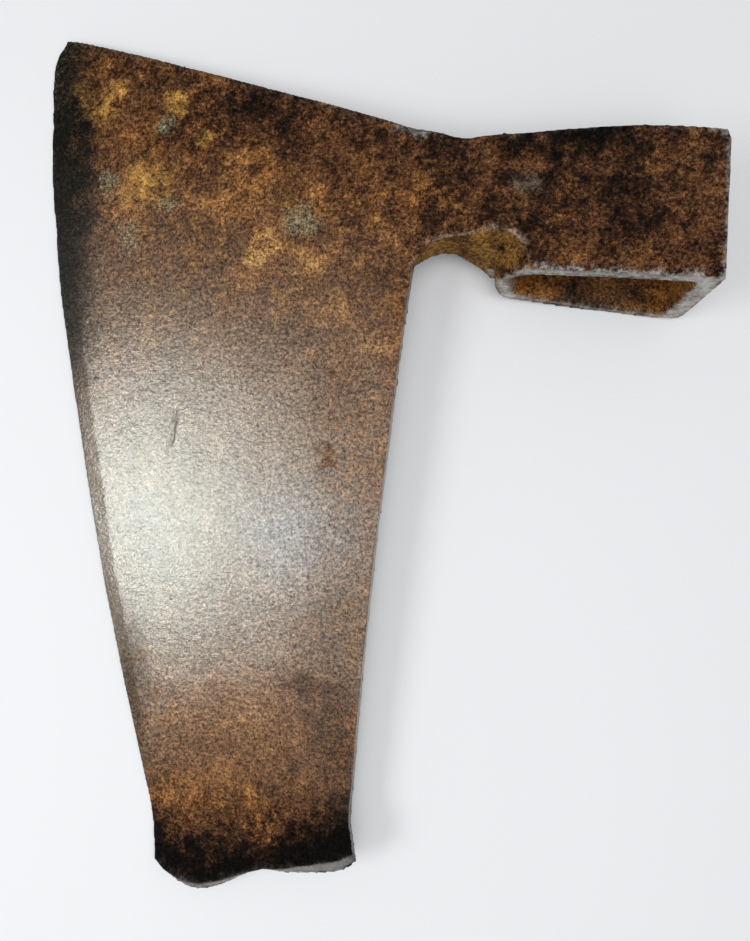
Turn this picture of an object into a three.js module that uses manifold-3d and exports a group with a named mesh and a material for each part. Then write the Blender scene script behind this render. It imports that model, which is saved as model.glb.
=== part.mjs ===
// Goosewing axe head: a hewing axe with a long wing of a blade, one flat side and a socket for the haft.
// Millimetres. The head is drawn with its flat side up at z = 0, X towards the poll and Y along the
// cutting edge, from the corner where the wing meets the neck. Then it is laid down the way it rests.
import * as THREE from 'three';
import { mergeVertices } from 'three/addons/utils/BufferGeometryUtils.js';
import { ConvexHull } from 'three/addons/math/ConvexHull.js';
import Module from 'manifold-3d';

// Blade, seen on its flat side
const wingLength = 230; // from the corner at the neck down to the heel
const hornRise = 94; // from the same corner up to the tip of the horn
const hornReach = 139.2; // and from that corner out to the tip
const heelWidth = 78; // across the wing at its lower end
const heelOffset = 25; // how far the wing leans away from the poll
const edgeBulge = 13.6; // how far the cutting edge swells past a straight line
const backHollow = 2.1; // how far the back of the wing sinks in
const topSwell = 1.4; // how far the top line of the blade swells up
const heelSlant = 6.5; // the lower end rises towards the back
const heelLobe = 11.8; // how far the battered lower end hangs below its corners
const heelFlare = 4.2; // how far its back corner stands out
const flareLength = 9;

// Blade, through its thickness
const edgeThickness = 1.2;
const bevelDrop = 1.6; // how far the ground bevel falls below the flat side
const bevelWidthHorn = 9.5;
const bevelWidthHeel = 5;
const bladeFront = 3.4; // thickness just behind the bevel
const bladeBack = 7; // thickness at the back of the wing
const bladeBow = 3.2; // how far the horn and heel turn away from the flat side
const curlLength = 27; // the lower end is bent up and swollen by hammering
const curlRise = 6;
const curlFront = 0.2; // share of the width in which the bend fades to half at the cutting edge
const heelSwell = 2;
const heelScarf = 8.5; // how far its end face slopes outwards

// Neck between the blade and the socket
const neckLength = 41.2; // corner of the wing to the socket, on the flat side
const gapFlatDepth = 10.8; // how far the gap beside the socket cuts up into the flat side
const gapLowerDepth = 6.6; // and into the lower side
const neckDip = 0.9; // how far the top line sinks at its narrowest
const topRise = 3.8; // how far the blade's top line has risen by the wing's corner

// Socket for the haft
const socketLength = 81.9; // nose to poll, outside, at the mouth
const socketHeight = 48.8; // along the haft, on the flat side
const socketDrop = 3.8; // how far the mouth lies below the wing's corner
const pollDepth = 41.5; // through the head at the poll
const noseDepth = 28.5; // through the head at the nose
const noseBulge = 13.5; // how far the nose stands out under the flat side
const noseFoot = 4.5; // how far the nose draws back again at the lower side
const bellyPlace = 0.52; // the lower side swells most here, as a share from nose to poll
const bellyDepth = 0.82; // and has this share of the growth in depth by then
const pollLean = 6.5; // how far the poll leans in towards the lower side
const flatWall = 5.7; // walls around the haft hole
const lowerWall = 3.8;
const pollWall = 8.6;
const noseWall = 6.4;
const eyeTaper = 0.07; // the hole narrows by this share from the mouth to the far end
const mouthSlantLength = 0.08; // slope of the mouth from nose to poll
const mouthSlantDepth = 0.194; // slope of the mouth through the head
const pollSplay = 1.5; // the poll stands out by this much more at the far end
const farCrown = 0.7; // the far end rises a little on its way to the poll
const farFall = 3.4; // and then falls towards the corner
const farFallLength = 27;
const pollCorner = 4; // rounding of that corner
const flatEdgeRounding = 4; // roundings along the socket's edges: nose to flat side, and on around
const pollEdgeRounding = 2.5;
const pollFootRounding = 6;
const bellyRounding = 16;
const noseRounding = 7;
const holeRounding = 0.8; // those of the hole, as a share of these
const flankWall = 0.78; // wall beside the nose, as a share of the wall at its tip

// Mesh
const wingRows = 34;
const neckRows = 9;
const bladeColumns = 16;
const neckColumns = 15;
const haftSteps = 4;
const cornerSegments = 5;

const wasm = await Module();
wasm.setup();

const { lerp, smoothstep, clamp } = THREE.MathUtils;

// A smooth line through a few points, read as y from x.
function lineThrough(points) {
  const xs = points.map((point) => point[0]);
  const ys = points.map((point) => point[1]);
  const line = new THREE.CubicInterpolant(xs, ys, 1, [0]);
  return (x) => line.evaluate(clamp(x, xs[0], xs.at(-1)))[0];
}

// Places on the flat side
const noseX = neckLength - noseBulge;
const pollX = noseX + socketLength;
const farY = socketHeight - socketDrop;
const neckEnd = neckLength + noseWall; // the neck runs on into the nose of the socket
const rootShare = wingLength / (wingLength + hornRise); // the corner's height along the edge

// Swell of the cutting edge from heel to horn, as a share of its greatest value
const edgeSwell = lineThrough([
  [0, 0], [0.06, 0], [0.14, 0.2], [0.33, 0.61], [0.53, 0.86], [0.73, 1], [0.89, 0.76], [0.975, 0.32], [1, 0],
]);

// Lower end from edge to back: a deep lobe, a nick and a long shallow lobe
const heelProfile = lineThrough([
  [0, 0], [0.06, 0.43], [0.16, 0.88], [0.24, 1], [0.36, 0.8], [0.48, 0.42], [0.54, 0.3], [0.62, 0.44],
  [0.76, 0.48], [0.9, 0.42], [0.97, 0.28], [1, 0.08],
]);

// Slope of the end face along the lower end, as a share of its greatest value
const scarfProfile = lineThrough([
  [0, 0.1], [0.1, 0.45], [0.25, 0.58], [0.4, 0.42], [0.52, 0.3], [0.65, 0.6], [0.94, 1], [1, 0.9],
]);

// Gap beside the socket, as shares of the neck's length and of the gap's depth
const gapFlat = lineThrough([
  [0, 0], [0.08, 0.44], [0.24, 0.7], [0.44, 0.8], [0.76, 1], [0.87, 0.83], [0.95, 0.46], [0.985, 0.07],
  [1.04, -0.26],
].map(([along, up]) => [along * neckLength, up * gapFlatDepth]));
const gapLower = lineThrough([
  [0, -0.08], [0.15, 0.6], [0.25, 0.92], [0.34, 1], [0.45, 0.71], [0.57, 0.33], [0.67, -0.18], [1, -0.53],
].map(([along, up]) => [along * neckLength, up * gapLowerDepth]));
const topLine = lineThrough([
  [0, topRise], [0.22, topRise / 2], [0.43, -neckDip], [0.56, -neckDip / 2], [0.68, 0], [1, 0],
].map(([along, up]) => [along * neckLength, farY + up]));

// Lower side of the neck: from the thin blade (0) down to the depth of the nose (1)
const neckDepth = lineThrough([
  [0, 0], [0.07, 0.09], [0.17, 0.26], [0.29, 0.49], [0.41, 0.67], [0.56, 0.8], [0.68, 0.91],
  [neckEnd / neckLength, 1.05],
].map(([along, down]) => [along * neckLength, lerp(bladeBack, noseDepth, down)]));

function edgePoint(share) {
  const x = lerp(-heelOffset - heelWidth, -hornReach, share) - edgeBulge * edgeSwell(share);
  return new THREE.Vector2(x, lerp(-wingLength - heelSlant / 2, hornRise, share));
}

function backPoint(share) {
  const y = lerp(-wingLength + heelSlant / 2, 0, share);
  const flare = heelFlare * Math.exp(-(((share * wingLength) / flareLength) ** 2));
  return new THREE.Vector2(lerp(-heelOffset, 0, share) - backHollow * Math.sin(Math.PI * share) + flare, y);
}

// The flat side bends away a little towards the horn and the heel, but stays level at the neck.
function bow(place) {
  const middle = (hornRise - wingLength) / 2;
  const half = (hornRise + wingLength) / 2;
  return -bladeBow * ((place.y - middle) / half) ** 2 * (1 - smoothstep(place.x, -hornReach / 2, 0));
}

// One place of the blade: how far it lies across from the edge and how far up from the heel
function bladeNode(column, fromHeel, alongEdge, left, right) {
  const width = left.distanceTo(right);
  const bevel = lerp(bevelWidthHeel, bevelWidthHorn, alongEdge);
  const across = column === 0 ? 0 : lerp(bevel / width, 1, (column - 1) / (bladeColumns - 1));
  const place = left.clone().lerp(right, across);
  const atHeel = Math.max(0, 1 - fromHeel / curlLength);
  const atTop = smoothstep(alongEdge, rootShare, 1);
  place.y += topSwell * atTop * Math.sin(Math.PI * across) - heelLobe * heelProfile(across) * atHeel;

  const fall = column === 0 ? bevelDrop : 0;
  const plainThickness = column === 0 ? edgeThickness : lerp(bladeFront, bladeBack, across);
  const thickness = plainThickness + heelSwell * atHeel ** 2 * across;
  const level = bow(place) + curlRise * atHeel ** 2 * smoothstep(across, -curlFront, curlFront) - fall;
  const flat = new THREE.Vector3(place.x, place.y, level);
  const lower = new THREE.Vector3(place.x, place.y, level - thickness);
  flat.y += heelScarf * scarfProfile(across) * atHeel;
  return { flat, lower };
}

// Where the blade goes over into the neck
function neckRoot(upNeck) {
  return new THREE.Vector2(0, lerp(gapFlat(0), topLine(0), upNeck));
}

// Columns of the neck lie closer together towards the round end of the gap.
function neckNode(column, upNeck) {
  const x = neckEnd * Math.sin((Math.PI / 2) * (column / neckColumns));
  return {
    flat: new THREE.Vector3(x, lerp(gapFlat(x), topLine(x), upNeck), 0),
    lower: new THREE.Vector3(x, lerp(gapLower(x), topLine(x), upNeck), -neckDepth(x)),
  };
}

// Rows run from the heel up to the top line. From the wing's corner up they go on into the neck.
function plateRows() {
  const rows = [];
  for (let row = 0; row <= wingRows + neckRows; row++) {
    const upWing = Math.min(1, row / wingRows);
    const upNeck = Math.max(0, row - wingRows) / neckRows;
    const alongEdge = upNeck > 0 ? lerp(rootShare, 1, upNeck) : rootShare * upWing;
    const inNeck = row >= wingRows;
    const left = edgePoint(alongEdge);
    const right = inNeck ? neckRoot(upNeck) : backPoint(upWing);
    const nodes = [];
    for (let column = 0; column < bladeColumns + (inNeck ? 0 : 1); column++) {
      nodes.push(bladeNode(column, upWing * wingLength, alongEdge, left, right));
    }
    for (let column = 0; inNeck && column <= neckColumns; column++) nodes.push(neckNode(column, upNeck));
    rows.push(nodes);
  }
  return rows;
}

// A closed plate from rows of nodes: both faces, and a wall along every edge that only one cell has.
function plateGeometry(rows) {
  const positions = [];
  const first = rows.map((nodes, row) => rows.slice(0, row).reduce((sum, other) => sum + other.length, 0));
  for (const node of rows.flat()) positions.push(...node.flat.toArray(), ...node.lower.toArray());
  const index = [];
  const edges = new Map();
  for (let row = 0; row + 1 < rows.length; row++) {
    const columns = Math.min(rows[row].length, rows[row + 1].length) - 1;
    for (let column = 0; column < columns; column++) {
      const a = first[row] + column;
      const d = first[row + 1] + column;
      const corners = [a, a + 1, d + 1, d];
      for (const [p, q, r] of [[0, 1, 2], [0, 2, 3]]) {
        index.push(2 * corners[p], 2 * corners[q], 2 * corners[r]);
        index.push(2 * corners[p] + 1, 2 * corners[r] + 1, 2 * corners[q] + 1);
      }
      corners.forEach((from, i) => {
        const to = corners[(i + 1) % corners.length];
        edges.set(`${from} ${to}`, [from, to]);
      });
    }
  }
  for (const [from, to] of edges.values()) {
    if (edges.has(`${to} ${from}`)) continue;
    index.push(2 * from, 2 * from + 1, 2 * to + 1, 2 * from, 2 * to + 1, 2 * to);
  }
  const geometry = new THREE.BufferGeometry();
  geometry.setAttribute('position', new THREE.Float32BufferAttribute(positions, 3));
  geometry.setIndex(index);
  return geometry;
}

// A shape with straight sides and rounded corners, each corner given as [x, y, rounding]
function roundedShape(corners) {
  const points = corners.map(([x, y]) => new THREE.Vector2(x, y));
  const shape = new THREE.Shape();
  points.forEach((corner, i) => {
    const neighbours = [points.at(i - 1), points[(i + 1) % points.length]];
    const [before, after] = neighbours.map((other) => {
      const reach = Math.min(corners[i][2], corner.distanceTo(other) / 2);
      return corner.clone().lerp(other, reach / corner.distanceTo(other));
    });
    if (i === 0) shape.moveTo(before.x, before.y);
    else shape.lineTo(before.x, before.y);
    shape.quadraticCurveTo(corner.x, corner.y, after.x, after.y);
  });
  shape.closePath();
  return shape;
}

// The socket cut across the haft. The four walls set the hole in from the outside.
function socketSection(walls, rounding) {
  const { flat, lower, poll, nose } = walls;
  const belly = lerp(noseDepth, pollDepth, bellyDepth);
  const lean = pollLean * (1 - (flat + lower) / pollDepth);
  const noseEdge = neckLength - flatEdgeRounding / 4;
  return roundedShape([
    [noseEdge + nose * flankWall, -flat, flatEdgeRounding * rounding],
    [pollX - poll, -flat, pollEdgeRounding * rounding],
    [pollX - poll - lean, lower - pollDepth, pollFootRounding * rounding],
    [lerp(noseX, pollX, bellyPlace), lower - belly, bellyRounding],
    [noseX + noseFoot + nose * flankWall, lower - noseDepth, flatEdgeRounding * rounding],
    [noseX + nose, (flat + lower - noseDepth) / 2, noseRounding],
  ]);
}

const mouthAt = (x, z) => -socketDrop - mouthSlantLength * (x - neckLength) + mouthSlantDepth * z;

// A section run along the haft from beyond the far end to the mouth, or past it, narrowed towards the far end
function alongHaft(section, pastMouth, taper) {
  const geometry = new THREE.ExtrudeGeometry(section, {
    depth: 1,
    steps: haftSteps,
    curveSegments: cornerSegments,
    bevelEnabled: false,
  });
  const centre = new THREE.Vector2((noseX + pollX) / 2, -noseDepth / 2);
  const start = farY + 2 * farFall;
  const position = geometry.getAttribute('position');
  for (let i = 0; i < position.count; i++) {
    const fromFar = position.getZ(i);
    const toPoll = (position.getX(i) - noseX) / socketLength;
    const x = lerp(position.getX(i), centre.x, taper * (1 - fromFar)) + pollSplay * toPoll * (1 - fromFar);
    const z = lerp(position.getY(i), centre.y, taper * (1 - fromFar));
    position.setXYZ(i, x, lerp(start, mouthAt(x, z) - pastMouth, fromFar), z);
  }
  return geometry;
}

// Outline of the socket on its flat side, which shapes its far end and the corner at the poll
function socketPlan() {
  const beyond = 2 * socketHeight;
  const plan = roundedShape([
    [0, -beyond, 1], [pollX + pollSplay, -beyond, 1], [pollX + pollSplay, farY - farFall, pollCorner],
    [pollX - farFallLength, farY + farCrown, farFallLength / 2], [neckLength, farY, 1], [0, farY, 1],
  ]);
  const geometry = new THREE.ExtrudeGeometry(plan, {
    depth: 3 * pollDepth,
    curveSegments: cornerSegments,
    bevelEnabled: false,
  });
  return geometry.translate(0, 0, -2 * pollDepth);
}

function solid(geometry) {
  geometry.deleteAttribute('normal');
  geometry.deleteAttribute('uv');
  const merged = mergeVertices(geometry, 1e-4);
  return new wasm.Manifold(new wasm.Mesh({
    numProp: 3,
    vertProperties: new Float32Array(merged.getAttribute('position').array),
    triVerts: new Uint32Array(merged.index.array),
  }));
}

function toGeometry(body) {
  const mesh = body.getMesh();
  const geometry = new THREE.BufferGeometry();
  geometry.setAttribute('position', new THREE.BufferAttribute(mesh.vertProperties, 3));
  geometry.setIndex(new THREE.BufferAttribute(mesh.triVerts, 1));
  return geometry;
}

// Middle of the mass of a closed mesh
function centreOfMass(geometry) {
  const position = geometry.getAttribute('position');
  const corner = [new THREE.Vector3(), new THREE.Vector3(), new THREE.Vector3()];
  const sum = new THREE.Vector3();
  let volume = 0;
  for (let i = 0; i < geometry.index.count; i += 3) {
    corner.forEach((point, k) => point.fromBufferAttribute(position, geometry.index.getX(i + k)));
    const part = corner[0].dot(corner[1].clone().cross(corner[2])) / 6;
    volume += part;
    corner.forEach((point) => sum.addScaledVector(point, part / 4));
  }
  return sum.divideScalar(volume);
}

// The way down: the normal of the hull face that the mass lies over, nearest to straight under the flat side
function restingNormal(geometry) {
  const position = geometry.getAttribute('position');
  const points = [];
  for (let i = 0; i < position.count; i++) points.push(new THREE.Vector3().fromBufferAttribute(position, i));
  const middle = centreOfMass(geometry);
  const triangle = new THREE.Triangle();
  const down = new THREE.Vector3(0, 0, -1);
  let best = null;
  for (const face of new ConvexHull().setFromPoints(points).faces) {
    triangle.set(face.edge.head().point, face.edge.next.head().point, face.edge.next.next.head().point);
    const under = middle.clone().addScaledVector(face.normal, -face.distanceToPoint(middle));
    if (!triangle.containsPoint(under)) continue;
    if (best === null || face.normal.dot(down) > best.dot(down)) best = face.normal.clone();
  }
  return best;
}

const outside = socketSection({ flat: 0, lower: 0, poll: 0, nose: 0 }, 1);
const walls = { flat: flatWall, lower: lowerWall, poll: pollWall, nose: noseWall };
const inside = socketSection(walls, holeRounding);
const socket = solid(alongHaft(outside, 0, 0)).intersect(solid(socketPlan()));
const eye = alongHaft(inside, pollWall, eyeTaper);
const head = toGeometry(solid(plateGeometry(plateRows())).add(socket).subtract(solid(eye)));

const iron = new THREE.MeshStandardMaterial({ color: 0x4a3527, roughness: 0.62, metalness: 0.75 });
const axeHead = new THREE.Mesh(head, iron);
axeHead.name = 'axe_head';

// Laid down, with the origin under the middle of its box
axeHead.quaternion.setFromUnitVectors(restingNormal(head), new THREE.Vector3(0, 0, -1));
const box = new THREE.Box3().setFromObject(axeHead, true);
axeHead.position.set(-(box.min.x + box.max.x) / 2, -(box.min.y + box.max.y) / 2, -box.min.z);

const goosewingAxe = new THREE.Group();
goosewingAxe.name = 'goosewing_axe';
goosewingAxe.add(axeHead);
export default goosewingAxe;
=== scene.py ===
# %% [markdown]
# # A forged goosewing axe head
# This file is a lesson in cells. It dresses one forged iron axe head that lies on a pale
# surface: the wing of the blade, the neck and the socket for the haft are one piece of iron. The
# head's solid comes in as a fixed frame. Here it gets the uneven skin that a hammer and a
# hundred years of rust leave, and its colours.

# %% Load the head
import math

import bmesh
import bpy
import numpy as np
from mathutils import Euler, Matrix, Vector


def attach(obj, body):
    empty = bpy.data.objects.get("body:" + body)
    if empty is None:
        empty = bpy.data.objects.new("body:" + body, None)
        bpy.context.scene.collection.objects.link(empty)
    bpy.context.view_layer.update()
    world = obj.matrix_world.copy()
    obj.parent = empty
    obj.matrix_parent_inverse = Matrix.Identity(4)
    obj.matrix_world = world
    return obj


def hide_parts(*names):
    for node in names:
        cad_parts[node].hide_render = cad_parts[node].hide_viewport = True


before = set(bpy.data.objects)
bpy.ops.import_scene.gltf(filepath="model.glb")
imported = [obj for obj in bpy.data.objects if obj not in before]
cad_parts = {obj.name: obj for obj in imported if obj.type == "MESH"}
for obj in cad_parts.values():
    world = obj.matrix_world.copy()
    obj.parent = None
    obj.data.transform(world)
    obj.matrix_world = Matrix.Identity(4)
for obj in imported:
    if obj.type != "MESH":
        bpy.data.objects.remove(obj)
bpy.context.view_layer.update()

MM = 0.001
NODE = "axe_head"
scene = bpy.context.scene

# %% [markdown]
# ## Camera
# The photograph looks straight down on the head from about 30 cm, which is close enough for the
# socket to show the inside of its mouth. The lens is given as a focal length in pixels of a
# picture 941 pixels high, because that is what a fit to the outline gives. Blender's sensor
# width belongs to the picture's long side.

# %% Camera over the head
PICTURE_HEIGHT = 941
FOCAL_PIXELS = 755.7
SENSOR = 36.0
CAMERA_PLACE = Vector((0.7, -1.2, 304.6)) * MM
CAMERA_TURN = (-0.263, -0.508, 0.272)  # degrees

camera_data = bpy.data.cameras.new("camera")
camera_data.sensor_width = SENSOR
camera_data.lens = FOCAL_PIXELS * SENSOR / PICTURE_HEIGHT
camera_data.clip_start = 0.01
camera = bpy.data.objects.new("camera", camera_data)
camera.location = CAMERA_PLACE
camera.rotation_euler = Euler([math.radians(turn) for turn in CAMERA_TURN], "XYZ")
scene.collection.objects.link(camera)
scene.camera = camera
scene.view_settings.view_transform = "Standard"
print("lens, mm:", round(camera_data.lens, 2))

# %% [markdown]
# ## Light
# Smooth iron shows a lamp as a sheen, so where the lamp stands matters more than how strong it is. One soft
# lamp stands to the left, just where the flat of the blade mirrors it towards the camera, and its edges set
# where the sheen ends. A large soft lamp above and a pale room all around light the floor and keep the
# shadows faint. Overhead the room has a dark patch, and that is all the level parts of the iron mirror.

# %% A lamp to the left and a lamp above
BLADE_MIDDLE = Vector((-60, -5, 12)) * MM


def soft_lamp(name, way, distance, width, height, watts):
    """A soft rectangular lamp that looks at the middle of the blade from the way given."""
    data = bpy.data.lights.new(name, "AREA")
    data.shape = "RECTANGLE"
    data.size, data.size_y = width, height
    data.energy = watts
    data.color = (0.96, 0.98, 1.0)
    lamp = bpy.data.objects.new(name, data)
    lamp.location = BLADE_MIDDLE + Vector(way).normalized() * distance
    lamp.rotation_euler = Vector(way).to_track_quat("Z", "Y").to_euler()
    scene.collection.objects.link(lamp)


soft_lamp("left", (-0.65, -0.12, 0.76), distance=0.8, width=0.38, height=0.27, watts=2.45)
soft_lamp("above", (0.16, -0.12, 0.98), distance=1.2, width=1.1, height=1.1, watts=10.4)

# %% [markdown]
# ## Small helpers for node trees
# The room, the relief and the finish are all node trees. A few short functions keep them
# readable: one makes a node, one fills an input with a plain value or with another node's
# output, one does sums and one blends from one value to another.

# %% Node, plug, maths and ramp


def node(tree, kind, links=None, **settings):
    made = tree.nodes.new(kind)
    for key, value in settings.items():
        setattr(made, key, value)
    for key, value in (links or {}).items():
        plug(tree, made.inputs[key], value)
    return made


def plug(tree, socket, value):
    if isinstance(value, bpy.types.NodeSocket):
        tree.links.new(value, socket)
    else:
        socket.default_value = value


def maths(tree, operation, *values, clamp=False):
    made = tree.nodes.new("ShaderNodeMath")
    made.operation = operation
    made.use_clamp = clamp
    for socket, value in zip(made.inputs, values):
        plug(tree, socket, value)
    return made.outputs[0]


def ramp(tree, value, start, end, low=0.0, high=1.0, kind="SMOOTHSTEP"):
    made = node(tree, "ShaderNodeMapRange", {
        "Value": value, "From Min": start, "From Max": end, "To Min": low, "To Max": high,
    }, interpolation_type=kind)
    return made.outputs["Result"]


# %% A bright room with a dark patch overhead
ROOM_LIGHT = 0.38
PATCH_LIGHT = 0.05
PATCH_WAY = Vector((-0.2, -0.03, 1.0)).normalized()
PATCH_RIM, PATCH_CORE = 0.84, 0.97  # cosines of the angles from the middle of the patch

world = bpy.data.worlds.new("room")
scene.world = world
world.use_nodes = True
room = world.node_tree
way = node(room, "ShaderNodeTexCoord").outputs["Generated"]
towards = node(room, "ShaderNodeVectorMath", {0: way, 1: PATCH_WAY}, operation="DOT_PRODUCT").outputs["Value"]
background = room.nodes["Background"].inputs
plug(room, background["Color"], (0.98, 0.985, 1.0, 1))
plug(room, background["Strength"], ramp(room, towards, PATCH_RIM, PATCH_CORE, ROOM_LIGHT, PATCH_LIGHT))

# %% [markdown]
# ## Floor
# The head lies on a matt pale surface. A plain square is enough for it, wide enough to reach out
# of every view.

# %% Pale floor
FLOOR_HALF = 3.0
FLOOR_PAINT = (0.785, 0.785, 0.79, 1)
FLOOR_ROUGHNESS = 0.9
floor_mesh = bpy.data.meshes.new("floor")
corner_signs = ((-1, -1), (1, -1), (1, 1), (-1, 1))
floor_mesh.from_pydata([(x * FLOOR_HALF, y * FLOOR_HALF, 0) for x, y in corner_signs], [], [(0, 1, 2, 3)])
floor = bpy.data.objects.new("floor", floor_mesh)
scene.collection.objects.link(floor)
pale = bpy.data.materials.new("pale_floor")
pale.use_nodes = True
floor_shader = pale.node_tree.nodes["Principled BSDF"].inputs
floor_shader["Base Color"].default_value = FLOOR_PAINT
floor_shader["Roughness"].default_value = FLOOR_ROUGHNESS
floor_mesh.materials.append(pale)

# %% [markdown]
# ## A skin fine enough to hold relief
# The solid has a few thousand large faces, which can't hold a pit. It is copied, its loose
# triangles are merged and a voxel remesh turns it into small even squares. That also takes the
# knife edge off every corner, as wear did on the real head.

# %% Remesh a copy
VOXEL = 0.6 * MM


def evaluated_copy(source, name):
    graph = bpy.context.evaluated_depsgraph_get()
    made = bpy.data.meshes.new_from_object(source.evaluated_get(graph))
    made.name = name
    return made


def merged_copy(name):
    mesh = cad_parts[name].data.copy()
    work = bmesh.new()
    work.from_mesh(mesh)
    bmesh.ops.remove_doubles(work, verts=work.verts, dist=0.001 * MM)
    work.to_mesh(mesh)
    work.free()
    mesh.materials.clear()
    return mesh


head = bpy.data.objects.new("forged_head", merged_copy(NODE))
scene.collection.objects.link(head)
remesh = head.modifiers.new("even skin", "REMESH")
remesh.mode = "VOXEL"
remesh.voxel_size = VOXEL
head.data = evaluated_copy(head, "forged_head")
head.modifiers.clear()
print("skin:", len(head.data.vertices), "points")

# %% [markdown]
# ## Sinking the skin
# Hammer and rust take iron away, so nearly everything that shapes the skin sinks it along its
# own normals. Only blisters stand out, by a hair. A small group of Geometry Nodes does the
# sinking for all of the trees that follow. It measures how thick the iron is behind each point
# and never takes more than a share of that, so the thin cutting edge stays whole.


# %% The group that sinks
def add_socket(tree, name, kind, value=None, in_out="INPUT"):
    socket = tree.interface.new_socket(name=name, in_out=in_out, socket_type=kind)
    if value is not None:
        socket.default_value = value


FLOAT, VECTOR, GEOMETRY = "NodeSocketFloat", "NodeSocketVector", "NodeSocketGeometry"
MATERIAL, WHOLE = "NodeSocketMaterial", "NodeSocketInt"


def new_tree(name, kind, inputs, outputs):
    tree = bpy.data.node_groups.new(name, kind)
    for title, socket_kind, value in inputs:
        add_socket(tree, title, socket_kind, value)
    for title, socket_kind in outputs:
        add_socket(tree, title, socket_kind, in_out="OUTPUT")
    return tree, tree.nodes.new("NodeGroupInput").outputs, tree.nodes.new("NodeGroupOutput").inputs


JUST_INSIDE = 0.02 * MM
THICKEST = 60 * MM

SINK, inlet, outlet = new_tree("sink into the iron", "GeometryNodeTree", [
    ("Geometry", GEOMETRY, None), ("Depth", FLOAT, 0.0), ("Share Of Iron", FLOAT, 0.1),
], [("Geometry", GEOMETRY)])
place = node(SINK, "GeometryNodeInputPosition").outputs[0]
normal = node(SINK, "GeometryNodeInputNormal").outputs[0]
inwards = node(SINK, "ShaderNodeVectorMath", {0: normal, "Scale": -1.0}, operation="SCALE").outputs[0]
start = node(SINK, "ShaderNodeVectorMath", {
    0: inwards, 1: (JUST_INSIDE,) * 3, 2: place,
}, operation="MULTIPLY_ADD").outputs[0]
wall = node(SINK, "GeometryNodeRaycast", {
    "Target Geometry": inlet["Geometry"], "Source Position": start,
    "Ray Direction": inwards, "Ray Length": THICKEST,
})
most = maths(SINK, "MULTIPLY", wall.outputs["Hit Distance"], inlet["Share Of Iron"])
least = maths(SINK, "MULTIPLY", most, -1.0)
depth = maths(SINK, "MAXIMUM", maths(SINK, "MINIMUM", inlet["Depth"], most), least)
move = node(SINK, "ShaderNodeVectorMath", {0: inwards, "Scale": depth}, operation="SCALE").outputs[0]
sunk = node(SINK, "GeometryNodeSetPosition", {"Geometry": inlet["Geometry"], "Offset": move})
plug(SINK, outlet["Geometry"], sunk.outputs[0])
print("group:", SINK.name, len(SINK.nodes), "nodes")

# %% [markdown]
# ## Waves and marks
# Hammering leaves slow waves that have no single place. They come from noise. It also leaves
# dents, and rust leaves pits and blisters, each the same mark many times over. A second tree
# strews places over the surface in loose clusters, gives each its own size, and sinks every point
# by how near it lies to the nearest place. With a negative depth the same tree raises blisters.


# %% The tree for waves
def end_tree(tree, geometry, material, outlet):
    real = node(tree, "GeometryNodeRealizeInstances", {"Geometry": geometry})
    dressed = node(tree, "GeometryNodeSetMaterial", {"Geometry": real.outputs[0], "Material": material})
    plug(tree, outlet["Geometry"], dressed.outputs[0])


def group_node(tree, group, links):
    made = tree.nodes.new("GeometryNodeGroup" if group.type == "GEOMETRY" else "ShaderNodeGroup")
    made.node_tree = group
    for key, value in links.items():
        plug(tree, made.inputs[key], value)
    return made


WAVES, inlet, outlet = new_tree("forged waves", "GeometryNodeTree", [
    ("Geometry", GEOMETRY, None), ("Wave Length", FLOAT, 30 * MM), ("Depth", FLOAT, 0.4 * MM),
    ("Detail", FLOAT, 2.0), ("Share Of Iron", FLOAT, 0.15), ("Material", MATERIAL, None),
], [("Geometry", GEOMETRY)])
place = node(WAVES, "GeometryNodeInputPosition").outputs[0]
noise = node(WAVES, "ShaderNodeTexNoise", {
    "Vector": place, "Scale": maths(WAVES, "DIVIDE", 1.0, inlet["Wave Length"]), "Detail": inlet["Detail"],
})
depth = maths(WAVES, "MULTIPLY", ramp(WAVES, noise.outputs[0], 0.3, 0.7, kind="LINEAR"), inlet["Depth"])
waved = group_node(WAVES, SINK, {
    "Geometry": inlet["Geometry"], "Depth": depth, "Share Of Iron": inlet["Share Of Iron"],
})
end_tree(WAVES, waved.outputs[0], inlet["Material"], outlet)

# %% The tree that strews marks
MARKS, inlet, outlet = new_tree("strewn marks", "GeometryNodeTree", [
    ("Geometry", GEOMETRY, None), ("Density", FLOAT, 20000.0), ("Cluster", FLOAT, 40 * MM),
    ("Smallest", FLOAT, 0.6 * MM), ("Largest", FLOAT, 1.6 * MM), ("Depth", FLOAT, 0.3 * MM),
    ("Share Of Iron", FLOAT, 0.2), ("Seed", WHOLE, 1), ("Material", MATERIAL, None),
], [("Geometry", GEOMETRY)])
crowd = node(MARKS, "ShaderNodeTexNoise", {
    "Scale": maths(MARKS, "DIVIDE", 1.0, inlet["Cluster"]), "Detail": 2.0,
})
crowded = maths(MARKS, "MULTIPLY", ramp(MARKS, crowd.outputs[0], 0.4, 0.65), inlet["Density"])
places = node(MARKS, "GeometryNodeDistributePointsOnFaces", {
    "Mesh": inlet["Geometry"], "Density": crowded, "Seed": inlet["Seed"],
}, distribute_method="RANDOM")
size = node(MARKS, "FunctionNodeRandomValue", {
    "Min": inlet["Smallest"], "Max": inlet["Largest"], "Seed": inlet["Seed"],
}, data_type="FLOAT")
sized = node(MARKS, "GeometryNodeStoreNamedAttribute", {
    "Geometry": places.outputs["Points"], "Name": "mark size", "Value": size.outputs["Value"],
}, data_type="FLOAT", domain="POINT").outputs[0]
nearest = node(MARKS, "GeometryNodeSampleNearest", {"Geometry": sized}, domain="POINT").outputs["Index"]
stored = node(MARKS, "GeometryNodeInputNamedAttribute", {"Name": "mark size"}, data_type="FLOAT")
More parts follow.
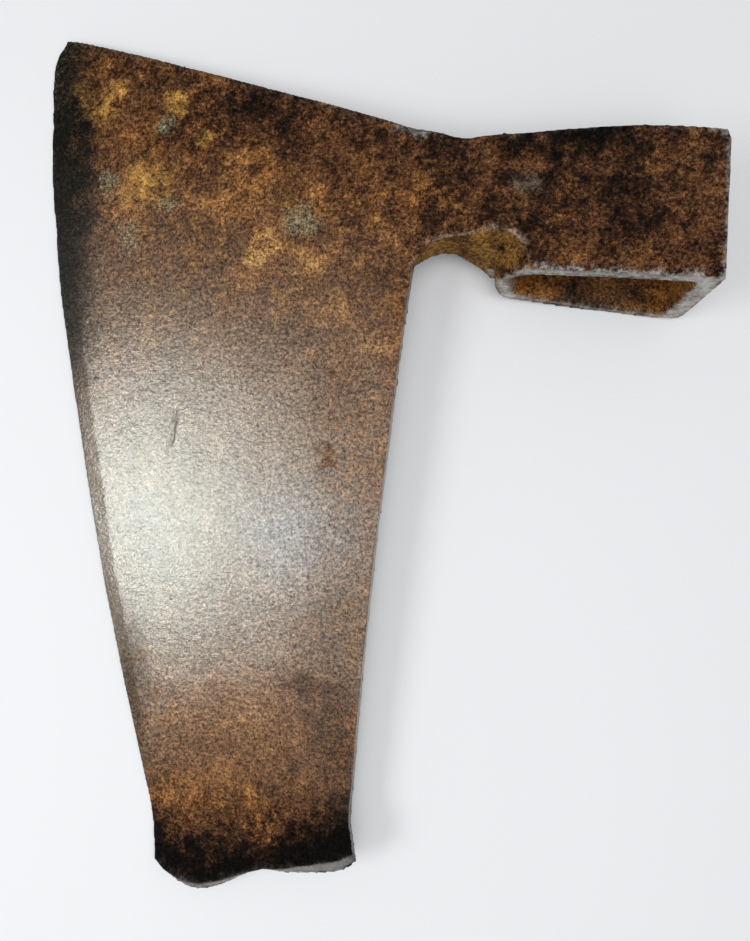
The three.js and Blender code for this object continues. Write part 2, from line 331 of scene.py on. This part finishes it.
place = node(MARKS, "GeometryNodeInputPosition").outputs[0]
near_size = node(MARKS, "GeometryNodeSampleIndex", {
    "Geometry": sized, "Value": stored.outputs["Attribute"], "Index": nearest,
}, data_type="FLOAT").outputs["Value"]
near_place = node(MARKS, "GeometryNodeSampleIndex", {
    "Geometry": sized, "Value": place, "Index": nearest,
}, data_type="FLOAT_VECTOR").outputs["Value"]
gap = node(MARKS, "ShaderNodeVectorMath", {0: place, 1: near_place}, operation="DISTANCE").outputs["Value"]
share = maths(MARKS, "DIVIDE", gap, near_size)
fall = maths(MARKS, "SUBTRACT", 1.0, maths(MARKS, "MULTIPLY", share, share), clamp=True)
bowl = maths(MARKS, "POWER", fall, 2.0)
by_size = maths(MARKS, "DIVIDE", near_size, inlet["Largest"])
depth = maths(MARKS, "MULTIPLY", maths(MARKS, "MULTIPLY", bowl, by_size), inlet["Depth"])
marked = group_node(MARKS, SINK, {
    "Geometry": inlet["Geometry"], "Depth": depth, "Share Of Iron": inlet["Share Of Iron"],
})
end_tree(MARKS, marked.outputs[0], inlet["Material"], outlet)
print("tree:", MARKS.name, len(MARKS.nodes), "nodes")

# %% Waves, dents, pits and blisters on the skin
# A modifier's input is set by the socket's identifier, before the head is looked at again.
iron = bpy.data.materials.new("rusted_iron")
iron.use_nodes = True


def run_tree(thing, tree, **values):
    identifiers = {item.name: item.identifier for item in tree.interface.items_tree if item.in_out == "INPUT"}
    modifier = thing.modifiers.new(tree.name, "NODES")
    modifier.node_group = tree
    for name, value in {**values, "Material": iron}.items():
        modifier[identifiers[name.replace("_", " ")]] = value
    thing.data = evaluated_copy(thing, thing.name)
    thing.modifiers.clear()


run_tree(head, WAVES, Wave_Length=42 * MM, Depth=0.5 * MM, Detail=1.0, Share_Of_Iron=0.1)
run_tree(head, WAVES, Wave_Length=7 * MM, Depth=0.14 * MM, Detail=3.0, Share_Of_Iron=0.06)
run_tree(head, MARKS, Density=9000.0, Cluster=60 * MM, Smallest=4 * MM, Largest=8 * MM, Depth=0.1 * MM,
         Share_Of_Iron=0.1, Seed=3)
run_tree(head, MARKS, Density=60000.0, Cluster=25 * MM, Smallest=0.7 * MM, Largest=1.7 * MM, Depth=0.16 * MM,
         Share_Of_Iron=0.1, Seed=11)
run_tree(head, MARKS, Density=70000.0, Cluster=30 * MM, Smallest=0.7 * MM, Largest=1.5 * MM, Depth=-0.07 * MM,
         Share_Of_Iron=0.05, Seed=23)
print("dented skin:", len(head.data.vertices), "points")

# %% [markdown]
# ## Marks with a place of their own
# Some marks belong to this head alone: a long gouge in the wing, a fold and cracks where the iron was
# turned over at the neck, deep pits, a rounded horn, and chips in the cutting edge and in the rim of
# the socket. They are pressed in one by one, as ovals that sink the skin or as nudges that push an edge.


# %% Press and nudge
def read(collection, field):
    values = np.empty(len(collection) * 3, np.float32)
    collection.foreach_get(field, values)
    return values.reshape(-1, 3).astype(float)


points = read(head.data.vertices, "co") / MM
normals = read(head.data.vertex_normals, "vector")
NEAR = 5.0


def press(centre, reach, depth, turn=0.0):
    """Sinks an oval of the side that faces up. Reach is half its length and width, in millimetres."""
    away = points - centre
    cosine, sine = math.cos(math.radians(turn)), math.sin(math.radians(turn))
    along = (away[:, 0] * cosine + away[:, 1] * sine) / reach[0]
    across = (away[:, 1] * cosine - away[:, 0] * sine) / reach[1]
    inside = np.clip(1 - along ** 2 - across ** 2, 0, 1) ** 1.5 * (np.abs(away[:, 2]) < NEAR)
    points[:] -= normals * (inside * depth * np.clip(normals[:, 2], 0, 1))[:, None]


def nudge(centre, radius, way):
    """Pushes everything near a place by up to the way given, in millimetres."""
    away = np.linalg.norm(points - centre, axis=1) / radius
    points[:] += (np.clip(1 - away ** 2, 0, 1) ** 1.5)[:, None] * way


# the gouge and the hollow around it
press((-75.4, 13, 10.3), (11, 1.5), 0.6, turn=83)
press((-74.5, 6, 10.3), (10, 3.4), 0.2, turn=88)
# the fold on the neck's upper edge, and the cracks at the corner of the wing
press((17, 121.6, 28), (6.5, 0.8), 0.5, turn=-21)
press((27, 118, 29), (4, 0.7), 0.3, turn=-14)
press((14.5, 75.5, 26.3), (3.6, 0.6), 0.5, turn=35)
press((19, 77.5, 27), (3.2, 0.5), 0.4, turn=12)
# pits, and the pocket at the nose of the socket
press((-15.6, 3.3, 19.9), (2.6, 2.0), 0.35, turn=60)
press((-17.0, 8.0, 19.6), (1.3, 1.1), 0.3)
press((-20.4, -58.7, 17.4), (1.3, 1.0), 0.45)
press((58.3, 71.6, 33.3), (1.8, 1.3), 0.6, turn=-35)
# the horn, full and rounded at its corner
nudge((-120, 161, 2), 22.0, (-1.3, 0, 0))
nudge((-120.5, 167, 2), 5.0, (0.8, -0.4, 0))
# chips in the cutting edge
for height, radius in ((97, 4.0), (92, 5.0), (71, 3.0), (134, 2.5), (20, 3.0)):
    nudge((-127, height, 0.5), radius, (0.5, 0, 0))
# the worn rim and the poll's corner
nudge((117, 62.5, 31), 2.6, (0.5, 0.3, 0.2))
nudge((118.5, 62.5, 25), 2.0, (0.5, 0.3, 0))
nudge((113.5, 63, 36), 2.2, (0.2, 0.6, 0.3))
nudge((125.9, 115.0, 44.5), 2.2, (-0.4, -0.3, -0.3))
head.data.vertices.foreach_set("co", (points * MM).astype(np.float32).ravel())
head.data.update()

# %% [markdown]
# ## Thin out the skin
# Where the iron is plain, fewer faces do as well. Decimation keeps them where the relief is and
# brings the piece under two hundred thousand triangles.

# %% Decimate
MOST_TRIANGLES = 190000
triangles = 2 * len(head.data.polygons)
if triangles > MOST_TRIANGLES:
    thin = head.modifiers.new("thin out", "DECIMATE")
    thin.ratio = MOST_TRIANGLES / triangles
    head.data = evaluated_copy(head, "forged_head")
    head.modifiers.clear()
head.data.shade_smooth()
print("triangles:", sum(len(face.vertices) - 2 for face in head.data.polygons))

# %% [markdown]
# ## Where the finish changes
# Hands and work rub the edges bright, and rust stays orange where nothing rubs: in the hole for the haft
# and in the gap beside the socket. Each of these gets a mask that is stored on the skin's points as an
# attribute, worked out from the way the skin bends and faces, and then smoothed over its neighbours.

# %% Masks on the points
points = read(head.data.vertices, "co") / MM
normals = read(head.data.vertex_normals, "vector")
ends = np.empty(len(head.data.edges) * 2, np.int32)
head.data.edges.foreach_get("vertices", ends)
first, second = ends.reshape(-1, 2).T
counts = np.bincount(ends, minlength=len(points))


def spread(values, rounds):
    """Each value becomes the mean of its neighbours' values, so many times over."""
    for _ in range(rounds):
        total = np.bincount(first, values[second], len(points))
        total += np.bincount(second, values[first], len(points))
        values = total / counts
    return values


def step(values, low, high):
    share = np.clip((values - low) / (high - low), 0, 1)
    return share * share * (3 - 2 * share)


def store(name, values):
    mask = head.data.attributes.new(name, "FLOAT", "POINT")
    mask.data.foreach_set("value", values.astype(np.float32))
    print(name, "covers", round(100 * float(values.mean()), 1), "percent")


# A point bulges where it stands out from the smoothed skin. Places are in millimetres.
x, y, z = points.T
smooth = np.array([spread(axis, 8) for axis in points.T]).T
bulge = ((points - smooth) * normals).sum(1)
facing = np.array([spread(axis, 3) for axis in normals.T]).T
RIM_WAY = (-0.106, -0.983, 0.153)
FLAT_WAY = (-0.161, -0.0224, 0.9867)
RIM_LEFT, RIM_TOP = 46, 76
HOLE_LEFT, HOLE_BOTTOM = 52, 56
GAP_LEFT, GAP_RIGHT, GAP_BOTTOM, GAP_TOP = 14, 62, 60, 95
BEVEL_RIGHT, HEEL_TOP, BACK_TOP = -88, -125, 72
HOLE_MIDDLE = (88, 22)  # x and z of the hole's middle line
to_middle = np.array([HOLE_MIDDLE[0] - x, HOLE_MIDDLE[1] - z])
to_middle /= np.linalg.norm(to_middle, axis=0)
looks_in = facing[:, 0] * to_middle[0] + facing[:, 2] * to_middle[1]
at_rim = step(facing @ RIM_WAY, 0.86, 0.95) * (x > RIM_LEFT) * (y < RIM_TOP)
hole_zone = (x > HOLE_LEFT) * (y > HOLE_BOTTOM) * (1 - at_rim)
gap_zone = (x > GAP_LEFT) * (x < GAP_RIGHT) * (y > GAP_BOTTOM) * (y < GAP_TOP) * (1 - at_rim)
looks_out = np.maximum(-facing[:, 1], -facing[:, 0])

store("worn", spread(step(bulge, 0.14, 0.42), 1))
store("in_hole", spread(step(looks_in, 0.1, 0.4) * hole_zone, 1))
store("on_rim", spread(at_rim, 1))
store("in_gap", spread(step(looks_out, 0.2, 0.6) * gap_zone, 2))
store("bevel", spread(step(-(facing @ FLAT_WAY), -0.996, -0.985) * (x < BEVEL_RIGHT), 1))
store("end_face", spread(step(-facing[:, 1], 0.45, 0.75) * (y < HEEL_TOP), 2))
store("side_face", spread(step(facing[:, 0], 0.6, 0.85) * (y < BACK_TOP), 1))

# %% [markdown]
# ## The finish
# Old forged iron isn't one colour. Under everything lies a black oxide, brown rust grows over it
# in mottled fields, and orange and ochre crumbs sit on top. So one number, the rust, rises and
# falls from zone to zone and wavers with noise of four sizes, and a ramp turns it into colours
# from black to ochre. Each effect is a small shader group with sizes in millimetres, placed
# again and again with other values. The shader itself stays in the material.

# %% Shader groups: mottle, patch and line
MOTTLE, inlet, outlet = new_tree("mottle", "ShaderNodeTree", [
    ("Place", VECTOR, None), ("Size", FLOAT, 5.0), ("Detail", FLOAT, 3.0), ("Crumble", FLOAT, 0.6),
    ("Contrast", FLOAT, 3.0),
], [("Mask", FLOAT)])
noise = node(MOTTLE, "ShaderNodeTexNoise", {
    "Vector": inlet["Place"], "Scale": maths(MOTTLE, "DIVIDE", 1.0, inlet["Size"]), "Detail": inlet["Detail"],
    "Roughness": inlet["Crumble"],
})
centred = maths(MOTTLE, "SUBTRACT", noise.outputs[0], 0.5)
plug(MOTTLE, outlet["Mask"], maths(MOTTLE, "MULTIPLY_ADD", centred, inlet["Contrast"], 0.5, clamp=True))

PATCH, inlet, outlet = new_tree("patch", "ShaderNodeTree", [
    ("Place", VECTOR, None), ("Centre", VECTOR, None), ("Reach", VECTOR, None), ("Core", FLOAT, 0.4),
], [("Mask", FLOAT)])
away = node(PATCH, "ShaderNodeVectorMath", {
    0: inlet["Place"], 1: inlet["Centre"],
}, operation="SUBTRACT").outputs[0]
share = node(PATCH, "ShaderNodeVectorMath", {0: away, 1: inlet["Reach"]}, operation="DIVIDE").outputs[0]
distance = node(PATCH, "ShaderNodeVectorMath", {0: share}, operation="LENGTH").outputs["Value"]
PATCH_END = 1.2  # a little past the reach, as a share of it
plug(PATCH, outlet["Mask"], ramp(PATCH, distance, PATCH_END, inlet["Core"]))

LINE, inlet, outlet = new_tree("line", "ShaderNodeTree", [
    ("Place", VECTOR, None), ("Start", VECTOR, None), ("End", VECTOR, None), ("Width", FLOAT, 0.5),
], [("Mask", FLOAT)])
from_start = node(LINE, "ShaderNodeVectorMath", {0: inlet["Place"], 1: inlet["Start"]}, operation="SUBTRACT")
whole = node(LINE, "ShaderNodeVectorMath", {0: inlet["End"], 1: inlet["Start"]}, operation="SUBTRACT")
dots = [
    node(LINE, "ShaderNodeVectorMath", {0: one.outputs[0], 1: whole.outputs[0]}, operation="DOT_PRODUCT")
    for one in (from_start, whole)
]
along = maths(LINE, "DIVIDE", dots[0].outputs["Value"], dots[1].outputs["Value"], clamp=True)
reached = node(LINE, "ShaderNodeVectorMath", {0: whole.outputs[0], "Scale": along}, operation="SCALE")
gap = node(LINE, "ShaderNodeVectorMath", {
    0: from_start.outputs[0], 1: reached.outputs[0],
}, operation="DISTANCE").outputs["Value"]
LINE_CORE = 0.3  # this share of the width is full
plug(LINE, outlet["Mask"], ramp(LINE, maths(LINE, "DIVIDE", gap, inlet["Width"]), 1.0, LINE_CORE))
print("groups:", MOTTLE.name, PATCH.name, LINE.name)

# %% Places on the head
# Object coordinates are turned into millimetres. A ragged copy, pushed about by noise, gives the patches torn
# borders.
tree = iron.node_tree
shader = tree.nodes["Principled BSDF"]
here = node(tree, "ShaderNodeVectorMath", {
    0: node(tree, "ShaderNodeTexCoord").outputs["Object"], "Scale": 1 / MM,
}, operation="SCALE").outputs[0]
TEAR = 9.0
TEAR_SIZE = 9.0
torn = node(tree, "ShaderNodeTexNoise", {
    "Vector": here, "Scale": 1 / TEAR_SIZE, "Detail": 4.0, "Roughness": 0.65,
})
centred = node(tree, "ShaderNodeVectorMath", {
    0: torn.outputs["Color"], 1: (0.5, 0.5, 0.5),
}, operation="SUBTRACT").outputs[0]
ragged = node(tree, "ShaderNodeVectorMath", {
    0: centred, 1: (TEAR * 2,) * 3, 2: here,
}, operation="MULTIPLY_ADD").outputs[0]
axes = node(tree, "ShaderNodeSeparateXYZ", {0: ragged}).outputs


def attribute(name):
    return node(tree, "ShaderNodeAttribute", attribute_name=name).outputs["Fac"]


def mottle(size, contrast=3.0, detail=3.0, crumble=0.6):
    return group_node(tree, MOTTLE, {
        "Place": here, "Size": size, "Contrast": contrast, "Detail": detail, "Crumble": crumble,
    }).outputs["Mask"]


def patch(centre, reach, core=0.4):
    """An oval mask with torn borders. Its centre and its reach along x, y and z are in millimetres."""
    return group_node(tree, PATCH, {
        "Place": ragged, "Centre": centre, "Reach": reach, "Core": core,
    }).outputs["Mask"]


def patches(spots):
    mask = 0.0
    for centre, reach in spots:
        mask = maths(tree, "MAXIMUM", mask, patch(centre, reach))
    return mask


def times(*masks):
    total = masks[0]
    for mask in masks[1:]:
        total = maths(tree, "MULTIPLY", total, mask)
    return total


def plus(*masks):
    total = masks[0]
    for mask in masks[1:]:
        total = maths(tree, "ADD", total, mask)
    return total


def inverse(mask):
    return maths(tree, "SUBTRACT", 1.0, mask, clamp=True)


def layer(mask, below, above):
    made = node(tree, "ShaderNodeMix", data_type="RGBA")
    plug(tree, made.inputs[0], mask)
    plug(tree, made.inputs[6], below)
    plug(tree, made.inputs[7], above)
    return made.outputs[2]


def value_layer(mask, below, above):
    made = node(tree, "ShaderNodeMix", data_type="FLOAT")
    plug(tree, made.inputs[0], mask)
    plug(tree, made.inputs[2], below)
    plug(tree, made.inputs[3], above)
    return made.outputs[0]


# %% Colours of iron and rust
def paint(red, green, blue):
    """A colour as a picture shows it, 0 to 255, turned into the linear one that a shader needs."""
    return (*[((part / 255 + 0.055) / 1.055) ** 2.4 for part in (red, green, blue)], 1.0)


RUST_RAMP = (
    (0.0, paint(12, 9, 7)), (0.18, paint(32, 21, 14)), (0.36, paint(60, 37, 23)), (0.55, paint(98, 64, 37)),
    (0.78, paint(152, 103, 56)), (1.0, paint(212, 166, 92)),
)
PURPLE_BROWN = paint(58, 36, 28)
RED_BROWN = paint(66, 36, 24)
GOLD_BROWN = paint(150, 98, 46)
ORANGE_RUST = paint(140, 90, 42)
OCHRE = paint(196, 148, 74)
RUBBED_BROWN = paint(124, 104, 86)
BARE_GREY = paint(184, 187, 178)
COOL_GREY = paint(164, 171, 172)
DULL_GREY = paint(104, 92, 78)
EDGE_BROWN = paint(50, 40, 31)
OCHRE_BROWN = paint(150, 110, 54)
GREEN_BLACK = paint(20, 22, 17)
GREEN_GREY = paint(150, 144, 116)
# the light colour of the painted glints on crumbs
CRUMB_GLINT = paint(214, 186, 146)
WORN_IRON = paint(190, 187, 181)

# %% [markdown]
# ## How much rust
# Each zone is an oval that adds to the rust or takes from it. The neck and the socket are dark, the wing
# is brown, its cutting edge and its heel are nearly black. Noise of four sizes breaks the zones up.

# %% Rust, zone by zone
ZONES = (  # centre, reach, change
    ((75, 118, 37), (46, 11, 30), -0.30),
    ((82, 92, 38), (40, 22, 30), -0.03),
    ((92, 96, 40), (10, 18, 20), -0.12),
    ((-60, 140, 13), (60, 30, 30), -0.20),
    ((-2, 122, 22), (40, 17, 20), -0.22),
    ((-30, 134, 18), (26, 14, 20), -0.15),
    ((-66, 128, 12), (26, 14, 20), -0.08),
    ((-94, -90, 7), (14, 34, 20), -0.25),
    ((12, 82, 24), (16, 12, 20), 0.12),
    ((-122, 95, 2), (16, 80, 20), -0.40),
    ((-104, 154, 5), (18, 12, 20), -0.10),
    ((-110, 96, 4), (7, 50, 20), -0.12),
    ((-86, 106, 9), (16, 14, 20), 0.04),
    ((-36, 78, 17), (50, 22, 20), 0.08),
    ((-78, 62, 11), (40, 22, 20), 0.07),
    ((-30, 88, 18), (16, 10, 20), -0.08),
    ((-64, -106, 12), (34, 30, 20), 0.10),
    ((-12, -104, 17), (18, 44, 20), -0.26),
    ((-44, -168, 10), (80, 34, 40), -0.62),
    ((-86, -152, 8), (20, 20, 30), -0.35),
    ((-8, -148, 16), (32, 26, 30), -0.55),
)
WING, SOCKET = 0.60, 0.36
socket_side = ramp(tree, axes["X"], 0.0, 30.0)
rust = value_layer(socket_side, WING, SOCKET)
for centre, reach, change in ZONES:
    rust = plus(rust, times(patch(centre, reach, 0.1), change))

wide, middle, small = mottle(32.0), mottle(10.0), mottle(3.6, detail=4.0)
fine = mottle(1.25, contrast=4.4, detail=4.0, crumble=1.0)
for noise_mask, strength in ((wide, 0.26), (middle, 0.28), (small, 0.32), (fine, 0.12)):
    rust = plus(rust, times(plus(noise_mask, -0.5), strength))

ramp_node = node(tree, "ShaderNodeValToRGB", {"Fac": rust})
stops = ramp_node.color_ramp.elements
while len(stops) < len(RUST_RAMP):
    stops.new(0.5)
for stop, (position, colour_there) in zip(stops, RUST_RAMP):
    stop.position = position
    stop.color = colour_there
colour = ramp_node.outputs["Color"]

# %% [markdown]
# ## Patches over the rust
# Rust also changes its hue. Broad fields lean to gold or to purple, a few places carry ochre crumbs,
# orange rust or a grey-green bloom, and the sheltered iron in the hole and in the gap is damp ochre.

# %% Fields, crumbs and sheltered iron
rusty = ramp(tree, rust, 0.3, 0.62)
colour = layer(times(mottle(15.0, 7.0, 4.0), rusty, 0.35), colour, layer(rust, RED_BROWN, GOLD_BROWN))
colour = layer(times(mottle(18.0, 8.0, 5.0), rusty, 0.55), colour, PURPLE_BROWN)
ochre = patches((
    ((-113.7, 147, 5), (5, 4, 9)), ((-107, 139, 6), (7, 5, 9)), ((-99, 146, 6), (5, 4, 9)),
    ((-75, 139, 9), (6, 5, 9)), ((-62, 124, 13), (5, 4, 9)), ((-88, 107, 9), (14, 11, 12)),
))
colour = layer(times(ochre, small, 0.9), colour, OCHRE)
orange = patches((
    ((12, 54, 25), (9, 18, 12)), ((-15, 3, 20), (4, 6, 9)),
    ((-56, 43, 13), (14, 10, 12)), ((-66, -122, 12), (26, 12, 20)),
))
colour = layer(times(orange, middle, 0.6), colour, ORANGE_RUST)
green = patches((
    ((-94, 87, 8), (6, 7, 9)), ((-102, 110, 6), (4, 7, 9)), ((-25, 92, 20), (8, 6, 9)),
    ((-79, 131, 10), (3, 4, 9)), ((-77, 100, 10), (4, 4, 9)),
))
bloom = layer(fine, GREEN_BLACK, GREEN_GREY)
colour = layer(times(green, value_layer(small, 0.3, 1.0)), colour, bloom)
dull_spot = patch((58, 101, 34), (5, 4, 9))
colour = layer(times(dull_spot, 0.5), colour, DULL_GREY)

in_hole = attribute("in_hole")
in_gap = attribute("in_gap")
sheltered = maths(tree, "MAXIMUM", in_hole, in_gap)
damp = layer(in_gap, ORANGE_RUST, OCHRE_BROWN)
colour = layer(times(sheltered, middle, 0.85), colour, damp)
hole_middle = patch((92, 66, 6), (20, 14, 12))
colour = layer(times(in_hole, hole_middle, 0.6), colour, EDGE_BROWN)
hole_ends = patches((((64, 68, 18), (12, 16, 14)), ((111, 66, 22), (7, 14, 14))))
colour = layer(times(in_hole, hole_ends, 0.55), colour, GOLD_BROWN)

# %% [markdown]
# ## Rubbed iron
# Use rubbed the wing smooth, and grey iron shows through its thin skin. The rubbed zone starts below
# a slanting line across the wing, ends above the heel, and is broken where a crust of rust is left.

# %% Where the wing is rubbed
HEEL_START, HEEL_END = -112.0, -138.0
RUB_START, RUB_FULL = 104.0, 8.0
SLANT = 0.3  # the start falls by this much for each step along x
CRUSTS = (  # centre, reach, strength
    ((-8, 26, 20), (18, 34, 20), 0.4),
    ((-94, -92, 7), (12, 36, 20), 0.9),
    ((-8, -108, 17), (16, 46, 20), 0.75),
)
heel = ramp(tree, axes["Y"], HEEL_START, HEEL_END)
slanted = maths(tree, "MULTIPLY_ADD", axes["X"], SLANT, axes["Y"])
rubbed = times(ramp(tree, slanted, RUB_START, RUB_FULL), inverse(heel), inverse(socket_side))
fading = ramp(tree, axes["Y"], -80.0, -130.0)
rubbed = times(rubbed, value_layer(fading, 1.0, 0.7))
blotches = times(inverse(middle), ramp(tree, axes["Y"], -70.0, -105.0))
rubbed = times(rubbed, value_layer(blotches, 1.0, 0.7))
back = group_node(tree, LINE, {
    "Place": ragged, "Start": (14, 60, 26), "End": (-8, -140, 17), "Width": 40.0,
}).outputs["Mask"]
crusted = maths(tree, "MAXIMUM", patch((-15, 2, 20), (4, 7, 9)), times(back, 0.28))
for centre, reach, strength in CRUSTS:
    crusted = maths(tree, "MAXIMUM", crusted, times(patch(centre, reach, 0.0), strength))
rubbed = times(rubbed, inverse(times(crusted, value_layer(small, 0.4, 0.95))))

# %% Colours of the rubbed wing, the bevel and the black edge
cool = patch((-28, -28, 18), (36, 28, 30), 0.0)
bare = patch((-88, -22, 8), (88, 88, 40), 0.0)
golden = patch((-52, -108, 14), (56, 40, 20), 0.0)
rubbed_colour = layer(times(cool, 0.62), layer(bare, RUBBED_BROWN, BARE_GREY), COOL_GREY)
rubbed_colour = layer(times(inverse(middle), 0.3), rubbed_colour, RUBBED_BROWN)
rubbed_colour = layer(times(golden, 0.5), rubbed_colour, GOLD_BROWN)
colour = layer(times(rubbed, 0.82), colour, rubbed_colour)
bevel = times(attribute("bevel"), value_layer(middle, 0.1, 0.8))
colour = layer(bevel, colour, layer(rubbed, EDGE_BROWN, RUBBED_BROWN))
edge_black = times(ramp(tree, axes["X"], -101.0, -120.0), ramp(tree, axes["Y"], -10.0, 60.0))
colour = layer(times(edge_black, 0.9), colour, GREEN_BLACK)
smudge = patch((-19, -85, 17), (18, 5, 14))
colour = layer(times(smudge, 0.6), colour, PURPLE_BROWN)

# %% [markdown]
# ## Worn edges, gouge and scratches
# Edges that stand out are worn to bright iron, most of all around the socket, on the rim of its
# mouth and on the narrow faces at the heel and the back. The gouge gets painted shade, a dark line
# along it, and old scratches have filled with orange rust.

# %% Worn iron and lines
around_socket = times(ramp(tree, axes["X"], 8.0, 40.0), ramp(tree, axes["Y"], 96.0, 82.0))
at_poll = ramp(tree, axes["X"], 114.0, 122.0)
edge_wear = value_layer(maths(tree, "MAXIMUM", around_socket, at_poll), 0.1, 1.0)
edge_wear = times(attribute("worn"), edge_wear, inverse(times(sheltered, 0.7)), mottle(5.0, 4.0))
rim_wear = times(attribute("on_rim"), value_layer(middle, 0.5, 1.0))
face_wear = plus(times(attribute("end_face"), 0.55), times(attribute("side_face"), 0.45))
fold = times(patch((17, 123, 28), (9, 3, 10)), small, 0.4)
worn = plus(edge_wear, rim_wear, face_wear, fold)
worn = maths(tree, "MULTIPLY", worn, value_layer(small, 0.75, 1.1), clamp=True)
colour = layer(worn, colour, WORN_IRON)

# Painted shade: a dark line along the gouge, patchy along its length.
gouge = group_node(tree, LINE, {
    "Place": here, "Start": (-74.6, 20, 10), "End": (-76.2, 7, 10), "Width": 1.5,
}).outputs["Mask"]
colour = layer(times(gouge, value_layer(small, 0.1, 0.6)), colour, EDGE_BROWN)

SCRATCHES = (  # start, end, width
    ((34.1, 114.6, 30.6), (32.5, 88, 29.7), 0.35),
    ((-29.2, 76, 19.2), (-2.7, 64.6, 23.4), 0.4),
    ((-24, 70, 20), (-6, 60, 22.8), 0.3),
)
for start, end, width in SCRATCHES:
    scratch = group_node(tree, LINE, {
        "Place": here, "Start": start, "End": end, "Width": width,
    }).outputs["Mask"]
    colour = layer(times(scratch, 0.5), colour, ORANGE_RUST)

# %% [markdown]
# ## Specks
# The skin is grainy to the eye: dark hollows and light crumbs, each about half a millimetre
# wide. The finest noise scales the colour, and a few crumbs get painted glints, a painted
# highlight in their colour. Bare and worn iron shows the least of it.

# %% Dark hollows, light crumbs and painted glints
DARKEST, LIGHTEST = 0.08, 1.7
# the most that a painted glint lightens a crumb
MOST_CRUMB_GLINT = 0.12
plain = maths(tree, "MAXIMUM", times(rubbed, bare, 0.75), worn)
specks = value_layer(plain, ramp(tree, fine, 0.0, 1.0, DARKEST, LIGHTEST, "LINEAR"), 1.0)
colour = node(tree, "ShaderNodeVectorMath", {0: colour, "Scale": specks}, operation="SCALE").outputs[0]
# Painted glints: a few light crumbs are painted lighter, as a painted highlight.
crumbs_and_glints = times(ramp(tree, fine, 0.6, 1.0), ramp(tree, rust, 0.12, 0.8, 0.0, MOST_CRUMB_GLINT), inverse(plain))
colour = layer(crumbs_and_glints, colour, CRUMB_GLINT)
plug(tree, shader.inputs["Base Color"], colour)

# %% [markdown]
# ## Roughness, metal, oil film and bump
# Rubbed and worn iron is nearly bare metal, so it mirrors the lamp in its own grey. A thin film of old
# oil, the shader's coat, lies over the rubbed wing and makes the sheen whiter. Rust is rough and mirrors
# almost nothing, or its blacks would turn grey. A fine grain that the mesh is too coarse for is a bump.

# %% How the surface takes the light
RUST_ROUGH, RUBBED_ROUGH, WORN_ROUGH = 0.8, 0.38, 0.36
ROUGH_WAVER = 0.1
WORN_METAL = 0.9
FILM = 0.5
FILM_ROUGH = 0.35
RUST_SPECULAR = 0.04
rough = value_layer(rubbed, RUST_ROUGH, RUBBED_ROUGH)
rough = value_layer(worn, rough, WORN_ROUGH)
plug(tree, shader.inputs["Roughness"], plus(rough, times(plus(middle, -0.5), ROUGH_WAVER)))
rubbed_metal = times(rubbed, value_layer(small, 0.75, 0.92))
metal = maths(tree, "MAXIMUM", rubbed_metal, times(worn, WORN_METAL))
plug(tree, shader.inputs["Metallic"], metal)
plug(tree, shader.inputs["Coat Weight"], times(rubbed, FILM))
shader.inputs["Specular IOR Level"].default_value = RUST_SPECULAR
shader.inputs["Coat Roughness"].default_value = FILM_ROUGH

GRAIN_HEIGHT = 0.15 * MM
grain = mottle(1.3, contrast=2.4, detail=2.0, crumble=0.7)
lumps = mottle(3.4, contrast=2.4, detail=1.0)
relief = times(plus(grain, times(lumps, 0.6)), inverse(times(worn, 0.6)))
bump = node(tree, "ShaderNodeBump", {"Height": relief, "Strength": 1.0, "Distance": GRAIN_HEIGHT})
plug(tree, shader.inputs["Normal"], bump.outputs["Normal"])
print("finish:", len(tree.nodes), "nodes")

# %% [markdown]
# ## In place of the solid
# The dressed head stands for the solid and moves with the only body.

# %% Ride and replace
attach(head, "root")
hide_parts(NODE)
